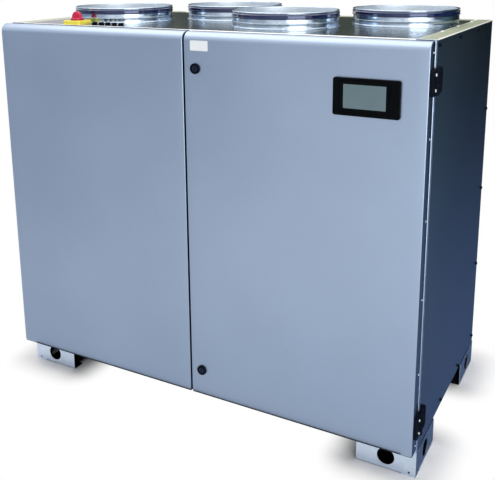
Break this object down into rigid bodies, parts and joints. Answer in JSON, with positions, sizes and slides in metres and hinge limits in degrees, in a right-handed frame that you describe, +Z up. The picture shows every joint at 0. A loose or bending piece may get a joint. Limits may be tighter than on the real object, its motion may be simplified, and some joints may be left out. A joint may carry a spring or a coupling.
{
  "type": "air handling unit",
  "caption": "Floor-standing air handling unit: insulated cabinet with a hinged service door, control display, round duct spigots and a main switch on top, and folded corner feet.",
  "frame": {"origin": "middle of the footprint on the floor, under the feet", "axes": "+X to the right along the fronts, +Y from the fronts to the back, +Z up"},
  "size_m": [1.3925, 0.7566, 1.244],
  "materials": {
    "painted_silver": "fine metallic silver-grey powder coat",
    "galvanised": "galvanised sheet, soft sheen",
    "spigot_zinc": "bright galvanised sheet",
    "foot_zinc": "matt galvanised sheet",
    "black_rubber": "matt black rubber",
    "black_plastic": "fine-grained black plastic",
    "screen_glass": "switched-off display behind clear cover",
    "yellow_plastic": "glossy yellow plastic",
    "red_plastic": "glossy red plastic"
  },
  "bodies": {
    "casing": {"left_side_panel": "painted_silver", "right_side_panel": "painted_silver", "back_panel": "painted_silver", "left_front_panel": "painted_silver", "bottom_panel": "galvanised", "top_panel": "galvanised", "top_strip_left": "galvanised", "top_strip_right": "galvanised", "top_strip_back": "galvanised", "front_post_left": "galvanised", "front_post_right": "galvanised", "front_rail_top": "galvanised", "front_rail_bottom": "galvanised", "centre_post": "galvanised", "left_panel_liner": "galvanised", "spigot_1": "spigot_zinc", "spigot_2": "spigot_zinc", "spigot_3": "spigot_zinc", "spigot_4": "spigot_zinc", "foot_front_left": "foot_zinc", "foot_front_right": "foot_zinc", "foot_rear_left": "foot_zinc", "foot_rear_right": "foot_zinc", "cable_grommets": "black_rubber", "spigot_seal_1": "black_rubber", "spigot_seal_2": "black_rubber", "spigot_seal_3": "black_rubber", "spigot_seal_4": "black_rubber", "hinge_frame_leaf_upper": "black_plastic", "hinge_frame_leaf_lower": "black_plastic", "switch_plate": "yellow_plastic"},
    "door": {"right_door": "painted_silver", "door_liner": "galvanised", "door_gasket": "black_rubber", "display_bezel": "black_plastic", "display_screen": "screen_glass", "lock_housing_upper": "black_plastic", "lock_housing_lower": "black_plastic", "hinge_door_leaf_upper": "black_plastic", "hinge_door_leaf_lower": "black_plastic"},
    "upper_lock": {"lock_insert_upper": "black_plastic"},
    "lower_lock": {"lock_insert_lower": "black_plastic"},
    "main_switch": {"switch_knob": "red_plastic"}
  },
  "joints": [
    {"name": "door_hinge", "type": "hinge", "parent": "casing", "child": "door", "pos_m": [0.69025, -0.32325, 0.6], "axis": [0, 0, 1], "range_deg": [0, 120]},
    {"name": "upper_lock_turn", "type": "hinge", "parent": "door", "child": "upper_lock", "pos_m": [0.03275, -0.35025, 1.095], "axis": [0, -1, 0], "range_deg": [0, 90]},
    {"name": "lower_lock_turn", "type": "hinge", "parent": "door", "child": "lower_lock", "pos_m": [0.03275, -0.35025, 0.175], "axis": [0, -1, 0], "range_deg": [0, 90]},
    {"name": "main_switch_turn", "type": "hinge", "parent": "casing", "child": "main_switch", "pos_m": [-0.45625, -0.28225, 1.208], "axis": [0, 0, 1], "range_deg": [0, 90]}
  ]
}
